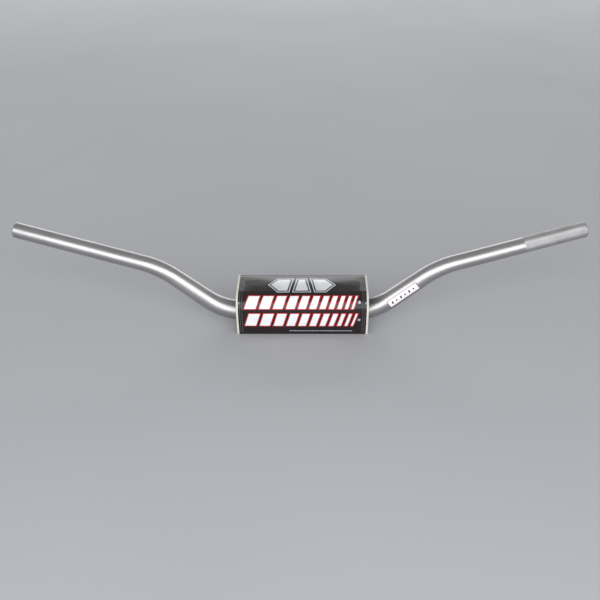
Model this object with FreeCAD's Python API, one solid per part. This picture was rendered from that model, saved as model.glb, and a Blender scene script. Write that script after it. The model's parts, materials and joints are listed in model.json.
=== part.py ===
import FreeCAD, Part
import math
import os

# Tapered off-road handlebar: one bent aluminium tube, wide in the clamp zone and
# standard size at the grips, with a foam safety pad wrapped round its centre.
#
# Frame: the origin is on the tube's axis in the middle of the clamp zone.
# +X runs along the bar, +Y is the way the ends sweep back (towards the rider),
# +Z is up. Millimetres.

# Tube path, +X half: the corners of its centre line before the bends round them off
INNER_CORNER = (105.5, 0.0, 0.0)
OUTER_CORNER = (191.4, 1.5, 67.8)
TIP = (398.8, 47.6, 102.8)
INNER_BEND_R = 83.5
OUTER_BEND_R = 92.9

# Tube section
CLAMP_DIA = 28.6
GRIP_DIA = 22.2
WALL = 4.1
TAPER_START = 62.0          # along the centre line, from the middle of the bar
TAPER_END = 239.6
END_CHAMFER = 1.0           # outer edge of each open end
BORE_CHAMFER = 0.6

# Decal on the +X upsweep: a thin film on the tube's lower front
DECAL_FROM = 24.6           # along the upsweep, from the inner corner
DECAL_LENGTH = 49.6
DECAL_HEIGHT = 12.0
DECAL_FILM = 0.15
DECAL_FACES = (0.0, -1.0, 0.0)

# Pad section, across the bar
PAD_OFFSET = 4.8            # the pad sits this far along +X
PAD_WIDTH = 181.3
PAD_BASE_Z = -19.5
PAD_TOP_Z = 42.3
PAD_BASE_HALF = 33.0
CROWN_R = 22.3
CROWN_HALF = 19.1           # half the flat between the two crown corners
HEM_CORNER_R = 2.0
COVER_T = 1.3

# Rolled hems along the pad's two lower edges, with the recess for the straps between them
HEM_DEPTH = 3.5
LIP_Z = PAD_BASE_Z + 2.4    # underside of the turned-in lips
LIP_HALF_GAP = 17.0

# Binding round both side edges of the cover
BINDING_W = 2.4
BINDING_PROUD = 0.4
BINDING_T = 2.3

# Foam: slot for the tube and two pockets for the clamps
TUBE_GAP = 0.8              # foam to tube, all round
SLOT_HALF = CLAMP_DIA / 2 + TUBE_GAP
POCKET_CENTRE = 48.0        # from the middle of the pad
POCKET_WIDTH = 44.0
POCKET_HALF_DEPTH = 27.0
POCKET_TOP_Z = 20.0

# Closing straps: centre between the middle of the pad and each strap, and its width
STRAPS = {"left": (79.0, 14.0), "centre": (0.0, 44.0), "right": (-79.0, 14.0)}
STRAP_T = 0.7
STRAP_BOTTOM_Z = PAD_BASE_Z + 0.1
STRAP_FRONT_Y = HEM_DEPTH + 0.5 - PAD_BASE_HALF     # just short of the front hem
HINGE_Y = 31.6
HINGE_Z = STRAP_BOTTOM_Z + STRAP_T
NOTCH_CLEAR = 0.6
HOOK_T = 0.5
LOOP_T = 0.8
PATCH_LENGTH = 12.5
PATCH_INSET = 0.5           # from each edge of the strap
ANCHOR_HEIGHT = 12.0
ANCHOR_T = 0.8

SPARE = 5.0                 # how far cutting tools run past what they cut
FULL_DEPTH = (-100.0, 100.0)    # a range of y wider than the pad
SAME = 1e-6                 # lengths closer than this are equal


def vec(point):
    return FreeCAD.Vector(*point)


def box(x_range, y_range, z_range):
    """Box between low and high limits."""
    low = FreeCAD.Vector(x_range[0], y_range[0], z_range[0])
    size = [limits[1] - limits[0] for limits in (x_range, y_range, z_range)]
    return Part.makeBox(size[0], size[1], size[2], low)


def cut_all(shape, tools):
    for tool in tools:
        shape = shape.cut(tool)
    return shape


def rounded_corner(before, corner, after, radius):
    """Points where a bend starts, is half way and ends, between two straight runs."""
    way_in = (corner - before).normalize()
    way_out = (after - corner).normalize()
    turn = way_in.getAngle(way_out)
    setback = radius * math.tan(turn / 2)
    start = corner - way_in * setback
    end = corner + way_out * setback
    towards_centre = (way_out - way_in).normalize()
    middle = corner + towards_centre * (radius / math.cos(turn / 2) - radius)
    return start, middle, end


def centre_line():
    """Edges of the +X half's centre line: straight, bend, straight, bend, straight."""
    middle = FreeCAD.Vector(0, 0, 0)
    bend_a = rounded_corner(middle, vec(INNER_CORNER), vec(OUTER_CORNER), INNER_BEND_R)
    bend_b = rounded_corner(vec(INNER_CORNER), vec(OUTER_CORNER), vec(TIP), OUTER_BEND_R)
    return [
        Part.LineSegment(middle, bend_a[0]).toShape(),
        Part.Arc(*bend_a).toShape(),
        Part.LineSegment(bend_a[2], bend_b[0]).toShape(),
        Part.Arc(*bend_b).toShape(),
        Part.LineSegment(bend_b[2], vec(TIP)).toShape(),
    ]


def value_at(distance, profile):
    """Radius at a distance along the bar, on straight lines between the profile's points."""
    for (start, r_start), (end, r_end) in zip(profile, profile[1:]):
        if distance <= end:
            return r_start + (r_end - r_start) * (distance - start) / (end - start)
    return profile[-1][1]


def straight_piece(edge, start, end, profile, travelled):
    """Cylinder or cone on the part of a straight edge between two distances along the bar."""
    first = edge.valueAt(edge.FirstParameter)
    direction = (edge.valueAt(edge.LastParameter) - first).normalize()
    base = first + direction * (start - travelled)
    r_start = value_at(start, profile)
    r_end = value_at(end, profile)
    if abs(r_start - r_end) < SAME:
        return Part.makeCylinder(r_start, end - start, base, direction)
    return Part.makeCone(r_start, r_end, end - start, base, direction)


def bent_piece(edge, start, end, profile):
    """Round section swept round one bend, tapering from one end to the other."""
    pipe = Part.BRepOffsetAPI.MakePipeShell(Part.Wire([edge]))
    for parameter, distance in ((edge.FirstParameter, start), (edge.LastParameter, end)):
        ring = Part.Circle(edge.valueAt(parameter), edge.tangentAt(parameter), value_at(distance, profile))
        pipe.add(Part.Wire([ring.toShape()]), False, False)
    pipe.build()
    pipe.makeSolid()
    return pipe.shape()


def round_bar(profile):
    """Solid of round section along the whole bar; profile lists (distance, radius) from the middle."""
    pieces = []
    travelled = 0.0
    for edge in centre_line():
        reach = travelled + edge.Length
        if isinstance(edge.Curve, Part.Circle):
            pieces.append(bent_piece(edge, travelled, reach, profile))
        else:
            inside = [distance for distance, _ in profile if travelled < distance < reach - SAME]
            stops = [travelled] + inside + [reach]
            for start, end in zip(stops, stops[1:]):
                pieces.append(straight_piece(edge, start, end, profile, travelled))
        travelled = reach
    origin = FreeCAD.Vector(0, 0, 0)
    other_half = [piece.mirror(origin, FreeCAD.Vector(1, 0, 0)) for piece in pieces]
    return pieces[0].multiFuse(pieces[1:] + other_half).removeSplitter()


def half_length():
    return sum(edge.Length for edge in centre_line())


def bar_profile(extra=0.0):
    """Outer radius along the bar, grown by extra."""
    end = half_length()
    clamp_r = CLAMP_DIA / 2 + extra
    grip_r = GRIP_DIA / 2 + extra
    return [(0.0, clamp_r), (TAPER_START, clamp_r), (TAPER_END, grip_r), (end, grip_r)]


def bar_tube():
    """Seamless tube, open at both ends, with chamfered ends."""
    end = half_length()
    outer = bar_profile()[:-1]
    outer += [(end - END_CHAMFER, GRIP_DIA / 2), (end, GRIP_DIA / 2 - END_CHAMFER)]
    bore = bar_profile(-WALL)[:-1]
    bore_r = GRIP_DIA / 2 - WALL
    bore += [(end - BORE_CHAMFER, bore_r), (end, bore_r + BORE_CHAMFER)]
    return round_bar(outer).cut(round_bar(bore))


def bar_decal():
    """Thin film that wraps the lower front of the +X upsweep."""
    along = (vec(OUTER_CORNER) - vec(INNER_CORNER)).normalize()
    facing = vec(DECAL_FACES)
    facing = (facing - along * facing.dot(along)).normalize()
    side = along.cross(facing)
    start = vec(INNER_CORNER) + along * DECAL_FROM
    window = Part.makeBox(DECAL_HEIGHT, CLAMP_DIA, DECAL_LENGTH)
    window.translate(FreeCAD.Vector(-DECAL_HEIGHT / 2, 0, 0))
    turn = FreeCAD.Matrix(side.x, facing.x, along.x, start.x,
                          side.y, facing.y, along.y, start.y,
                          side.z, facing.z, along.z, start.z,
                          0, 0, 0, 1)
    window = window.transformGeometry(turn)
    return round_bar(bar_profile(DECAL_FILM)).common(window).cut(round_bar(bar_profile()))


def pad_outline(grow=0.0):
    """Closed outline across the pad: flat base, leaning sides, big round crown corners."""
    base = FreeCAD.Vector(0, PAD_BASE_HALF, PAD_BASE_Z)
    crown = FreeCAD.Vector(0, CROWN_HALF, PAD_TOP_Z - CROWN_R)
    to_base = base - crown
    side_angle = math.atan2(to_base.z, to_base.y) + math.acos(CROWN_R / to_base.Length)
    middle_angle = (side_angle + math.pi / 2) / 2

    def on_crown(angle):
        return crown + FreeCAD.Vector(0, CROWN_R * math.cos(angle), CROWN_R * math.sin(angle))

    def mirrored(point):
        return FreeCAD.Vector(point.x, -point.y, point.z)

    side = on_crown(side_angle)
    middle = on_crown(middle_angle)
    top = on_crown(math.pi / 2)
    up = (side - base).normalize()
    inwards = FreeCAD.Vector(0, -1, 0)
    corner_turn = math.pi - up.getAngle(inwards)
    setback = HEM_CORNER_R * math.tan(corner_turn / 2)
    corner_end = base + up * setback
    corner_start = base + inwards * setback
    bisector = (up + inwards).normalize()
    corner_middle = base + bisector * (HEM_CORNER_R / math.cos(corner_turn / 2) - HEM_CORNER_R)
    half = [(corner_start, corner_middle, corner_end), (corner_end, side), (side, middle, top)]
    edges = [Part.LineSegment(mirrored(corner_start), corner_start)]
    edges += [Part.Arc(*points) if len(points) == 3 else Part.LineSegment(*points) for points in half]
    edges.append(Part.LineSegment(top, mirrored(top)))
    for points in reversed(half):
        back = [mirrored(point) for point in reversed(points)]
        edges.append(Part.Arc(*back) if len(back) == 3 else Part.LineSegment(*back))
    face = Part.Face(Part.Wire([edge.toShape() for edge in edges]))
    if grow == 0.0:
        return face
    return face.makeOffset2D(grow)


def pad_prism(x_range, grow=0.0):
    """Pad section over a range of x, measured from the middle of the pad."""
    prism = pad_outline(grow).extrude(FreeCAD.Vector(x_range[1] - x_range[0], 0, 0))
    prism.translate(FreeCAD.Vector(PAD_OFFSET + x_range[0], 0, 0))
    return prism


def across(middle, width):
    """Range of x in the bar's frame for something centred at a place on the pad."""
    return (PAD_OFFSET + middle - width / 2, PAD_OFFSET + middle + width / 2)


def clamp_pockets():
    """Spaces round the tube for the two handlebar clamps, open below."""
    y_range = (-POCKET_HALF_DEPTH, POCKET_HALF_DEPTH)
    z_range = (PAD_BASE_Z - SPARE, POCKET_TOP_Z)
    return [box(across(side * POCKET_CENTRE, POCKET_WIDTH), y_range, z_range) for side in (-1, 1)]


def foam_core():
    """Foam block with a slot that drops over the tube and two clamp pockets."""
    reach = PAD_WIDTH / 2 - BINDING_W
    block = pad_prism((-reach, reach), -COVER_T)
    floor_z = LIP_Z + COVER_T
    whole = across(0, PAD_WIDTH + 2 * SPARE)
    below = box(whole, FULL_DEPTH, (PAD_BASE_Z - SPARE, floor_z))
    slot = box(whole, (-SLOT_HALF, SLOT_HALF), (PAD_BASE_Z - SPARE, 0))
    return cut_all(block, [below, slot, round_bar(bar_profile(TUBE_GAP))] + clamp_pockets())


def strap_notches():
    """Gaps in the rear hem where the straps pass through it."""
    y_range = (PAD_BASE_HALF - HEM_DEPTH - SPARE, PAD_BASE_HALF + SPARE)
    z_range = (PAD_BASE_Z - SPARE, LIP_Z)
    return [
        box(across(middle, width + 2 * NOTCH_CLEAR), y_range, z_range)
        for middle, width in STRAPS.values()
    ]


def pad_cover():
    """Coated-fabric wrap: front, top and rear in one sheet, hemmed below and turned in under the foam."""
    reach = PAD_WIDTH / 2 - BINDING_W
    wrap = pad_prism((-reach, reach))
    whole = across(0, PAD_WIDTH + 2 * SPARE)
    inside = pad_prism((-reach - SPARE, reach + SPARE), -COVER_T)
    above_lips = box(whole, FULL_DEPTH, (LIP_Z + COVER_T, PAD_TOP_Z + SPARE))
    recess_half = PAD_BASE_HALF - HEM_DEPTH
    recess = box(whole, (-recess_half, recess_half), (PAD_BASE_Z - SPARE, LIP_Z))
    slot = box(whole, (-LIP_HALF_GAP, LIP_HALF_GAP), (PAD_BASE_Z - SPARE, 0))
    return cut_all(wrap, [inside.common(above_lips), recess, slot] + clamp_pockets() + strap_notches())


def edge_binding(side):
    """Folded tape that closes one side edge of the cover, from hem over the crown to hem."""
    reach = PAD_WIDTH / 2
    x_range = (reach - BINDING_W, reach) if side > 0 else (-reach, -reach + BINDING_W)
    ring = pad_prism(x_range, BINDING_PROUD)
    hollow = pad_prism((-reach - SPARE, reach + SPARE), BINDING_PROUD - BINDING_T)
    whole = across(0, PAD_WIDTH + 2 * SPARE)
    recess_half = PAD_BASE_HALF - HEM_DEPTH
    below = box(whole, (-recess_half, recess_half), (PAD_BASE_Z - SPARE, 0))
    under_hems = box(whole, FULL_DEPTH, (PAD_BASE_Z - SPARE, PAD_BASE_Z))
    return cut_all(ring, [hollow, below, under_hems])


def strap_anchor(middle, width):
    """Sewn end of a strap, on the foot of the cover's rear wall."""
    skin = pad_prism((middle - width / 2, middle + width / 2), ANCHOR_T)
    skin = skin.cut(pad_prism((-PAD_WIDTH / 2, PAD_WIDTH / 2)))
    z_range = (LIP_Z, LIP_Z + ANCHOR_HEIGHT)
    return skin.common(box(across(middle, width), (0, PAD_BASE_HALF + 2 * SPARE), z_range))


def strap_flap(middle, width):
    """Free part of a strap, closed: it runs forward under the tube to the front lip."""
    return box(across(middle, width), (STRAP_FRONT_Y, HINGE_Y), (STRAP_BOTTOM_Z, HINGE_Z))


def hook_patch(middle, width):
    """Hook tape on the upper face of a strap's free end."""
    y_range = (STRAP_FRONT_Y, STRAP_FRONT_Y + PATCH_LENGTH)
    return box(across(middle, width - 2 * PATCH_INSET), y_range, (HINGE_Z, HINGE_Z + HOOK_T))


def loop_patch(middle, width):
    """Loop tape on the underside of the front lip, above the hook tape."""
    y_range = (STRAP_FRONT_Y, STRAP_FRONT_Y + PATCH_LENGTH)
    return box(across(middle, width - 2 * PATCH_INSET), y_range, (LIP_Z - LOOP_T, LIP_Z))


def nodes():
    yield "bar_tube", bar_tube()
    yield "bar_decal", bar_decal()
    yield "pad_foam", foam_core()
    yield "pad_cover", pad_cover()
    yield "edge_binding_left", edge_binding(1)
    yield "edge_binding_right", edge_binding(-1)
    for name, (middle, width) in STRAPS.items():
        yield "strap_anchor_" + name, strap_anchor(middle, width)
        yield "strap_" + name, strap_flap(middle, width)
        yield "hook_patch_" + name, hook_patch(middle, width)
        yield "loop_patch_" + name, loop_patch(middle, width)


os.makedirs("parts", exist_ok=True)
for node, shape in nodes():
    shape.exportStep("parts/" + node + ".step")
    limits = shape.BoundBox
    print(f"{node}: {len(shape.Solids)} solid, valid {shape.isValid()}, {shape.Volume:.0f} mm3, "
          f"x {limits.XMin:.1f} to {limits.XMax:.1f}, y {limits.YMin:.1f} to {limits.YMax:.1f}, "
          f"z {limits.ZMin:.1f} to {limits.ZMax:.1f}")
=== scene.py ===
import json
import math
import random

import bmesh
import bpy
from mathutils import Euler, Matrix, Quaternion, Vector, noise
from mathutils.bvhtree import BVHTree


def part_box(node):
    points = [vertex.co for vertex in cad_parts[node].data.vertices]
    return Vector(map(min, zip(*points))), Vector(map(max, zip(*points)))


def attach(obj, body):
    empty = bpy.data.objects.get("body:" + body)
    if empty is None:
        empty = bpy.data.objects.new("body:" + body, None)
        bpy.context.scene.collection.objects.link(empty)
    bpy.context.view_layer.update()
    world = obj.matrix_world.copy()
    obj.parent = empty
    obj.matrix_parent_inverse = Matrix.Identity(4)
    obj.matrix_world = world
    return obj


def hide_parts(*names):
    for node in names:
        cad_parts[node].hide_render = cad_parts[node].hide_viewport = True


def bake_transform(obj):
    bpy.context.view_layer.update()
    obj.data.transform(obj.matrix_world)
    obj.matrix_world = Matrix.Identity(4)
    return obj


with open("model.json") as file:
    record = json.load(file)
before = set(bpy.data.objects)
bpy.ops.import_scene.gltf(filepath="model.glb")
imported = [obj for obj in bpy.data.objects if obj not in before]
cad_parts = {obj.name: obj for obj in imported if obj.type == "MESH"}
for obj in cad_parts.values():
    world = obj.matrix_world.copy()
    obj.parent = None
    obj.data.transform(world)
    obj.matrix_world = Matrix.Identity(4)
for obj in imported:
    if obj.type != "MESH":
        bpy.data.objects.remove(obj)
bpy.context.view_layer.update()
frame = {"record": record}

# Looks of a tapered off-road handlebar with a foam pad: a satin tube with a knurled grip end, and a
# glossy coated-fabric cover, hemmed, bound, printed and stitched, closed below by three straps.
# Metres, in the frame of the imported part: +X along the bar, +Y towards the rider, +Z up.

MM = 0.001
FIXED = "bar_and_pad"
random.seed(4)


# ---- measures from the frame

def mount(name):
    return next(m for m in frame["record"]["mounts"] if m["name"] == name)


# Tube
BORE_CHAMFER = 0.6 * MM
END_CHAMFER = 1 * MM
END_BACK = 1.6 * MM  # length of the rounded end profile
END_BORE = mount("end_bore_left")
GRIP_AXIS = Vector(END_BORE["axis"]).normalized()
TIP = Vector(END_BORE["pos_m"]) + GRIP_AXIS * (END_BORE["dims"]["length_mm"] * MM / 2 + BORE_CHAMFER)
BORE_R, GRIP_R, CLAMP_R = (mount(name)["dims"]["r_mm"] * MM
                           for name in ("end_bore_left", "grip_left", "clamp_zone"))
WALL = GRIP_R - BORE_R
INNER_CORNER = Vector((105.5 * MM, 0, 0))
OUTER_CORNER = TIP - GRIP_AXIS * 215.33 * MM
INNER_BEND_R = 83.5 * MM
OUTER_BEND_R = 92.9 * MM
TAPER_START = 62 * MM
TAPER_END = 239.6 * MM

# Knurl on the +X grip end
KNURL_LENGTH = 91.8 * MM
KNURL_STARTS = 44
KNURL_DEPTH = 0.20 * MM
KNURL_PITCH = 2 * math.pi * GRIP_R / KNURL_STARTS / math.tan(math.radians(30))
PER_DIAMOND = 4
RING_SIDES = KNURL_STARTS * PER_DIAMOND

# Pad
COVER_LOW, COVER_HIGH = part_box("pad_cover")
PAD_X = (COVER_LOW.x + COVER_HIGH.x) / 2
COVER_REACH = (COVER_HIGH.x - COVER_LOW.x) / 2
BINDING_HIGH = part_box("edge_binding_left")[1]
PAD_REACH = BINDING_HIGH.x - PAD_X
BASE_Z = COVER_LOW.z
TOP_Z = COVER_HIGH.z
CROWN_R = 22.3 * MM
CROWN_HALF = COVER_HIGH.y - CROWN_R
BASE_HALF = 33 * MM
COVER_T = 1.3 * MM
LIP_Z = BASE_Z + 2.4 * MM
LIP_HALF_GAP = 17 * MM
HEM_DEPTH = 3.5 * MM
BINDING_T = 2.3 * MM
BINDING_PROUD = 0.4 * MM
SLOT_GAP = 0.8 * MM
SLOT_HALF = CLAMP_R + SLOT_GAP
POCKET_SPANS = ((-70 * MM, -26 * MM), (26 * MM, 70 * MM))  # clamp pockets, across the pad
POCKET_HALF_DEPTH = 27 * MM
POCKET_TOP_Z = 20 * MM

STRAPS = ("left", "centre", "right")
STRAP_SPANS = [[corner.x - PAD_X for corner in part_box("strap_" + name)] for name in STRAPS]
ANCHOR_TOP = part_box("strap_anchor_centre")[1].z


# ---- centre line of the tube

def bar_legs():
    """Straight and bent legs of the +X half, each as (length, start, forward, up, centre, axis, radius)."""
    legs = []
    here, forward, up = Vector(), Vector((1, 0, 0)), Vector((0, 0, 1))
    bends = ((INNER_CORNER, OUTER_CORNER, INNER_BEND_R), (OUTER_CORNER, TIP, OUTER_BEND_R))
    for corner, after, radius in bends:
        way_out = (after - corner).normalized()
        turn = forward.angle(way_out)
        start = corner - forward * radius * math.tan(turn / 2)
        axis = forward.cross(way_out).normalized()
        centre = start + axis.cross(forward) * radius
        legs.append(((start - here).length, here, forward, up, None, None, 0))
        legs.append((radius * turn, start, forward, up, centre, axis, radius))
        bend = Quaternion(axis, turn)
        here = centre + bend @ (start - centre)
        forward, up = bend @ forward, bend @ up
    legs.append(((TIP - here).length, here, forward, up, None, None, 0))
    return legs


LEGS = bar_legs()
HALF_LENGTH = sum(leg[0] for leg in LEGS)
KNURL_START = HALF_LENGTH - KNURL_LENGTH


def bar_frame(distance):
    """Centre, sideways and up directions of the tube at a distance from its middle; minus is the -X half."""
    left = min(abs(distance), HALF_LENGTH)
    for length, start, forward, up, centre, axis, radius in LEGS:
        if left <= length:
            break
        left -= length
    if centre is None:
        point = start + forward * left
    else:
        bend = Quaternion(axis, left / radius)
        point = centre + bend @ (start - centre)
        forward, up = bend @ forward, bend @ up
    side = up.cross(forward)
    if distance < 0:
        point, side, up = (Vector((-v.x, v.y, v.z)) for v in (point, side, up))
    return point, side, up


def bar_radius(distance):
    share = (abs(distance) - TAPER_START) / (TAPER_END - TAPER_START)
    return CLAMP_R + (GRIP_R - CLAMP_R) * min(1.0, max(0.0, share))


def bar_at_x(x):
    """Distance along the bar where its centre is at x, near the middle of the bar."""
    low, high = 0.0, HALF_LENGTH
    for _ in range(40):
        half = (low + high) / 2
        if bar_frame(half)[0].x < abs(x):
            low = half
        else:
            high = half
    return math.copysign(low, x)


# ---- mesh helpers

def around(point, side, up, angle, radius):
    """Point on a circle about another point."""
    return point + (side * math.cos(angle) + up * math.sin(angle)) * radius


def smoothstep(low, high, value):
    t = min(1.0, max(0.0, (value - low) / (high - low)))
    return t * t * (3 - 2 * t)


def run(start, end, spacing):
    """Points after start, up to and including end."""
    count = max(1, math.ceil((end - start).length / spacing))
    return [start.lerp(end, i / count) for i in range(1, count + 1)]


def rounded_path(corners, spacing):
    """Flat path of straight runs joined by arcs; corners are (a, b, radius)."""
    stops = [Vector(corner[:2]) for corner in corners]
    points = [stops[0]]
    for here, after, corner in zip(stops[1:], stops[2:], corners[1:-1]):
        radius = corner[2]
        way_in = (here - points[-1]).normalized()
        way_out = (after - here).normalized()
        turn = math.atan2(way_in.cross(way_out), way_in.dot(way_out))
        if radius == 0 or abs(turn) < 1e-4:
            points += run(points[-1], here, spacing)
            continue
        start = here - way_in * radius * math.tan(abs(turn) / 2)
        centre = start + Vector((-way_in.y, way_in.x)) * math.copysign(radius, turn)
        points += run(points[-1], start, spacing)
        count = max(3, math.ceil(abs(turn) * radius / spacing), math.ceil(abs(turn) / math.radians(15)))
        spoke = start - centre
        points += [centre + Matrix.Rotation(turn * i / count, 2) @ spoke for i in range(1, count + 1)]
    points += run(points[-1], stops[-1], spacing)
    return points


def linked(name, data):
    made = bpy.data.objects.new(name, data)
    bpy.context.scene.collection.objects.link(made)
    return made


def mesh_object(name, verts, faces, materials, sharp_angle=None):
    mesh = bpy.data.meshes.new(name)
    mesh.from_pydata([tuple(v) for v in verts], [], faces)
    edit = bmesh.new()
    edit.from_mesh(mesh)
    bmesh.ops.recalc_face_normals(edit, faces=edit.faces)
    edit.to_mesh(mesh)
    edit.free()
    mesh.polygons.foreach_set("use_smooth", [True] * len(mesh.polygons))
    if sharp_angle is not None:
        mesh.set_sharp_from_angle(angle=math.radians(sharp_angle))
    for material in materials:
        mesh.materials.append(material)
    return linked(name, mesh)


def grid_faces(rows, ring, closed_rows, closed_ring, first=0):
    """Quads of a grid of rows, each with ring points."""
    faces = []
    for i in range(rows if closed_rows else rows - 1):
        j = (i + 1) % rows
        for k in range(ring if closed_ring else ring - 1):
            m = (k + 1) % ring
            faces.append(tuple(first + n for n in (i * ring + k, j * ring + k, j * ring + m, i * ring + m)))
    return faces


def tube_faces(rows, ring, first=0):
    """Faces of closed rings joined into a tube with flat ends."""
    last = first + (rows - 1) * ring
    return (grid_faces(rows, ring, False, True, first)
            + [tuple(range(first, first + ring)), tuple(range(last, last + ring))])


def swept(name, rows, materials, closed_rows=False, sharp_angle=None):
    """Piece of closed rings, with flat ends unless its rows close on themselves."""
    verts = [point for row in rows for point in row]
    ring = len(rows[0])
    faces = grid_faces(len(rows), ring, True, True) if closed_rows else tube_faces(len(rows), ring)
    return mesh_object(name, verts, faces, materials, sharp_angle)


def add_thread(verts, faces, points, radii, normal, sides=6):
    """Appends a small closed tube through the points to a mesh under construction."""
    faces += tube_faces(len(points), sides, len(verts))
    for before, point, after, radius in zip(points[:1] + points, points, points[1:] + points[-1:], radii):
        ahead = after - before
        side = ahead.cross(normal).normalized()
        over = side.cross(ahead).normalized()
        verts += [around(point, side, over, 2 * math.pi * k / sides, radius) for k in range(sides)]


def stitch(verts, faces, start, end, normal, thickness=0.26 * MM, rise=0.30 * MM):
    """One visible stitch: thread that comes up, runs over the surface and dips in again."""
    points, radii = [], []
    for t in (i / 6 for i in range(7)):
        height = math.sin(math.pi * t)
        points.append(start.lerp(end, t) + normal * (rise * height ** 0.6 - 0.12 * MM))
        radii.append(thickness * (0.55 + 0.45 * height))
    add_thread(verts, faces, points, radii, normal)


# ---- materials

class Finish:
    """A node material while it is put together, in the object's own coordinates."""

    def __init__(self, name, fixed):
        self.material = bpy.data.materials.new(name)
        self.material.use_nodes = True
        self.nodes = self.material.node_tree.nodes
        self.shader = self.nodes["Principled BSDF"]
        self.coords = self.nodes.new("ShaderNodeTexCoord").outputs["Object"]
        self.normal = None
        self.feed(self.shader, {socket.replace("_", " "): value for socket, value in fixed.items()})

    def feed(self, node, inputs):
        """Gives each input a plain value, or links it to another node's output."""
        for name, value in inputs.items():
            if isinstance(value, bpy.types.NodeSocket):
                self.material.node_tree.links.new(value, node.inputs[name])
            else:
                node.inputs[name].default_value = value

    def node(self, kind, inputs, **settings):
        node = self.nodes.new("ShaderNode" + kind)
        for name, value in settings.items():
            setattr(node, name, value)
        self.feed(node, inputs)
        return node

    def noise(self, size, detail=3.0, stretch=None):
        """Noise whose features are about size metres wide, stretched along an axis if asked."""
        coords = self.coords
        if stretch is not None:
            coords = self.node("Mapping", {"Vector": coords, "Scale": stretch}).outputs["Vector"]
        return self.node("TexNoise", {"Vector": coords, "Scale": 1 / size, "Detail": detail}).outputs["Fac"]

    def ramp(self, value, *stops):
        """Colour that runs between two stops of a value, each (place, colour)."""
        node = self.node("ValToRGB", {"Fac": value})
        for element, (place, colour) in zip(node.color_ramp.elements, stops):
            element.position = place
            element.color = (*colour, 1.0)
        return node.outputs["Color"]

    def ranged(self, value, low, high):
        """Spreads the middle of a noise's range over low to high."""
        inputs = {"Value": value, "From Min": 0.3, "From Max": 0.7, "To Min": low, "To Max": high}
        return self.node("MapRange", inputs).outputs["Result"]

    def combine(self, operation, first, second):
        return self.node("Math", {0: first, 1: second}, operation=operation).outputs["Value"]

    def weighted(self, first, first_share, second, second_share):
        return self.combine("ADD", self.combine("MULTIPLY", first, first_share),
                            self.combine("MULTIPLY", second, second_share))

    def bump(self, height, depth):
        """Adds relief on top of any that is there already."""
        inputs = {"Height": height, "Distance": depth, "Strength": 1.0}
        if self.normal is not None:
            inputs["Normal"] = self.normal
        self.normal = self.node("Bump", inputs).outputs["Normal"]
        self.feed(self.shader, {"Normal": self.normal})

    def colour(self, base, rough):
        self.feed(self.shader, {"Base Color": base, "Roughness": rough})

    def patchy(self, dark, light, size, rough):
        """Base colour between two shades and roughness between two values, both in soft patches."""
        self.colour(self.ramp(self.noise(size), (0.35, dark), (0.65, light)),
                    self.ranged(self.noise(size * 0.45, 5.0), *rough))


def plain_finish(name, dark, light, size, rough, grains, **fixed):
    """Shades in soft patches, with layers of relief; each grain is (size, detail, stretch, depth)."""
    finish = Finish(name, fixed)
    finish.patchy(dark, light, size, rough)
    for grain, detail, stretch, depth in grains:
        finish.bump(finish.noise(grain, detail, stretch), depth)
    return finish.material


def ink_finish(name, dark, light, rough=(0.24, 0.34), metallic=0.0):
    """Printed ink with the vinyl's grain showing through it."""
    return plain_finish(name, dark, light, 12 * MM, rough, [(0.9 * MM, 2.0, None, 0.012 * MM)],
                        Metallic=metallic, Coat_Weight=0.25)


def thread_finish(name, dark, light):
    return plain_finish(name, dark, light, 1.5 * MM, (0.55, 0.75),
                        [(0.25 * MM, 2.0, (1.0, 1.0, 0.35), 0.06 * MM)], Sheen_Weight=0.4)


def woven_finish(name, dark, light, pitch, rough=(0.75, 0.9), sheen=0.3):
    """Woven tape or webbing: crossing yarns, uneven dye and a soft sheen; the colour is darker where the yarn
    relief sinks in, a painted shade between the yarns.
    """
    finish = Finish(name, {"Sheen_Weight": sheen})
    patches = finish.noise(9 * MM, 4.0)
    inputs = {"Vector": finish.coords, "Scale": 0.314 / pitch, "Distortion": 0.6, "Detail Scale": 2.0}
    bands = [finish.node("TexWave", inputs, bands_direction=way).outputs["Fac"] for way in ("X", "Y")]
    yarns = finish.combine("MULTIPLY", *bands)
    # Painted shade: the yarn relief darkens the colour in its low parts, mixed with the uneven dye.
    tone_and_painted_shade = finish.weighted(yarns, 0.45, patches, 0.6)
    finish.colour(finish.ramp(tone_and_painted_shade, (0.2, dark), (0.75, light)), finish.ranged(patches, *rough))
    finish.bump(yarns, 0.10 * MM)
    return finish.material


def foam_finish():
    """Closed-cell foam with cut cells on its skin; its colour is darker where the cell relief sinks in, a
    painted shade in the crevices between cells.
    """
    finish = Finish("dark_foam", {})
    cells = finish.node("TexVoronoi", {"Vector": finish.coords, "Scale": 1 / (1.1 * MM)}).outputs["Distance"]
    patches = finish.noise(8 * MM, 4.0)
    # Painted shade: the cell relief darkens the colour where it sinks in, mixed with random patches of tone.
    tone_and_painted_shade = finish.weighted(cells, 0.7, patches, 0.4)
    finish.colour(finish.ramp(tone_and_painted_shade, (0.2, (0.075, 0.075, 0.08)), (0.8, (0.03, 0.03, 0.033))),
                  finish.ranged(patches, 0.85, 0.97))
    finish.bump(cells, -0.35 * MM)
    return finish.material


# ---- tube

def knurl_height(distance, turn):
    """Relief of the crossed knurl: pyramids between two families of helical grooves."""
    end = HALF_LENGTH - END_CHAMFER - 0.3 * MM
    if not KNURL_START <= distance <= end:
        return 0.0
    along = (distance - KNURL_START) / KNURL_PITCH
    grooves = [abs(2 * ((along + sign * turn * KNURL_STARTS) % 1.0) - 1) for sign in (1, -1)]
    fade_in = smoothstep(KNURL_START, KNURL_START + 0.8 * MM, distance)
    fade_out = smoothstep(end, end - 0.6 * MM, distance)
    return (0.45 - max(grooves)) * KNURL_DEPTH * fade_in * fade_out


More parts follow.
